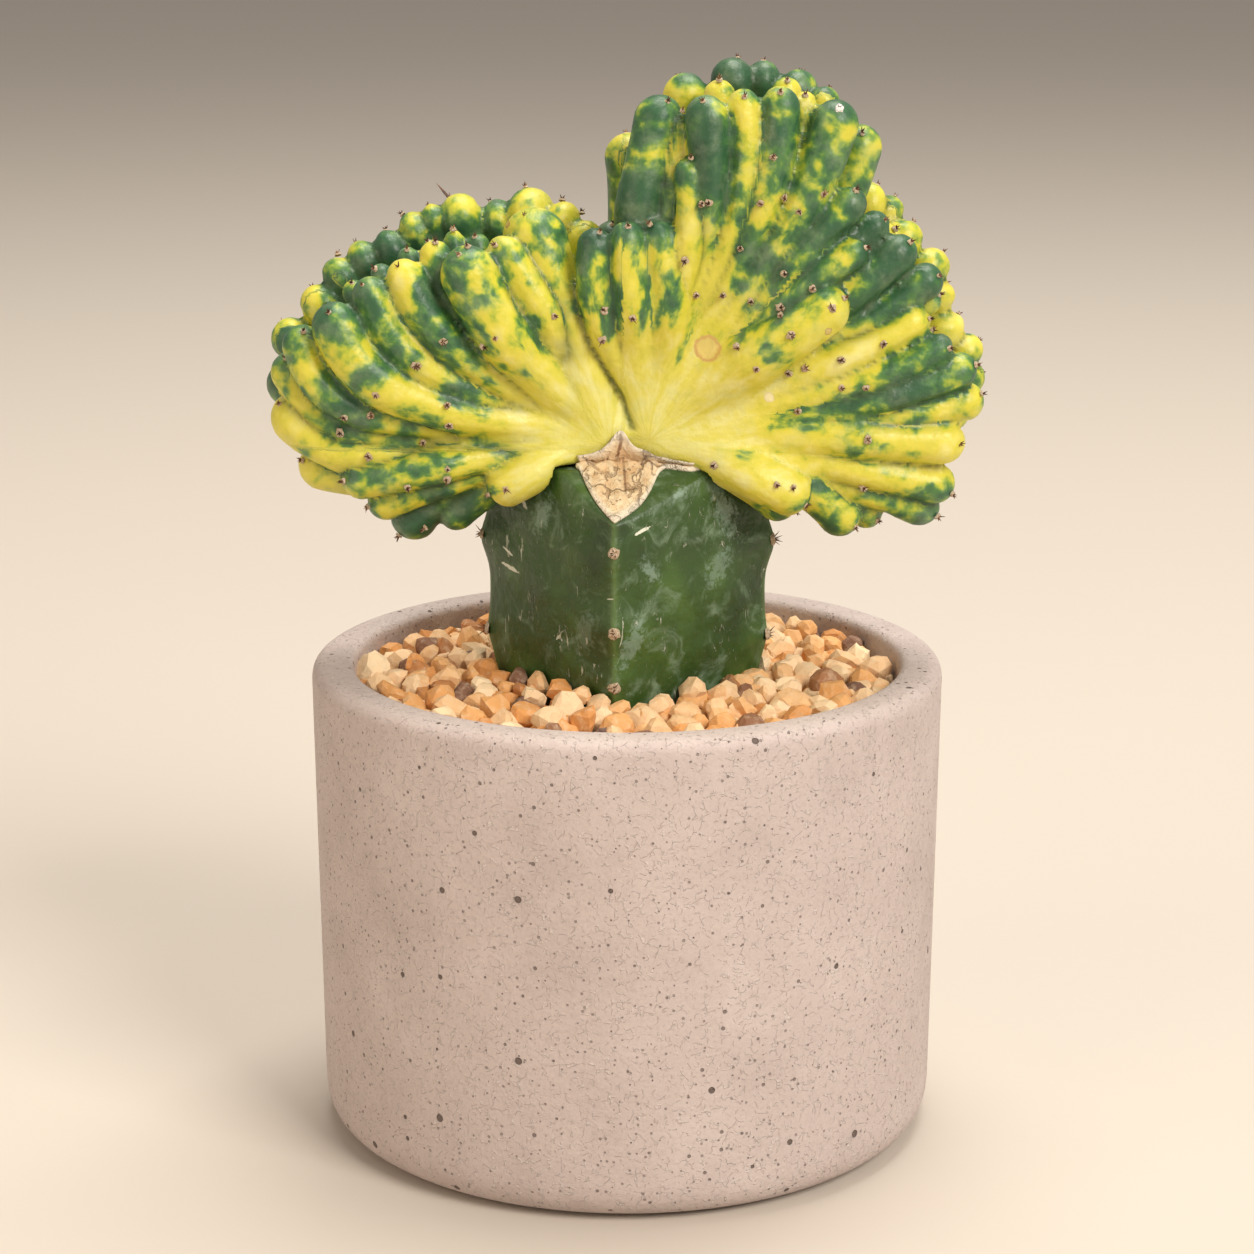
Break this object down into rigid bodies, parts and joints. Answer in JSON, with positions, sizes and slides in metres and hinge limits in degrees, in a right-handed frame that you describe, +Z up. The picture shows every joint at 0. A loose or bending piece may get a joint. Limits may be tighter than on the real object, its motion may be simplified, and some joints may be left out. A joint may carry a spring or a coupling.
{
  "type": "potted grafted crested cactus",
  "caption": "Variegated crested cactus of fused, fanned fingers grafted on a four-angled green stock, in a round stone-like pot topped with gravel.",
  "frame": {"origin": "middle of the pot's foot, on the surface it stands on", "axes": "+Z up along the pot's axis; -Y towards the viewer, the crest's broad side; +X to the viewer's right"},
  "size_m": [0.1341, 0.12, 0.2027],
  "materials": {
    "pot": "matte",
    "soil": "matte",
    "gravel": "matte",
    "stock": "satin",
    "callus": "matte",
    "crest": "satin"
  },
  "bodies": {
    "root": {"pot": "pot", "soil": "soil", "gravel": "gravel", "rootstock": "stock", "graft_callus": "callus", "crest": "crest"}
  },
  "joints": []
}
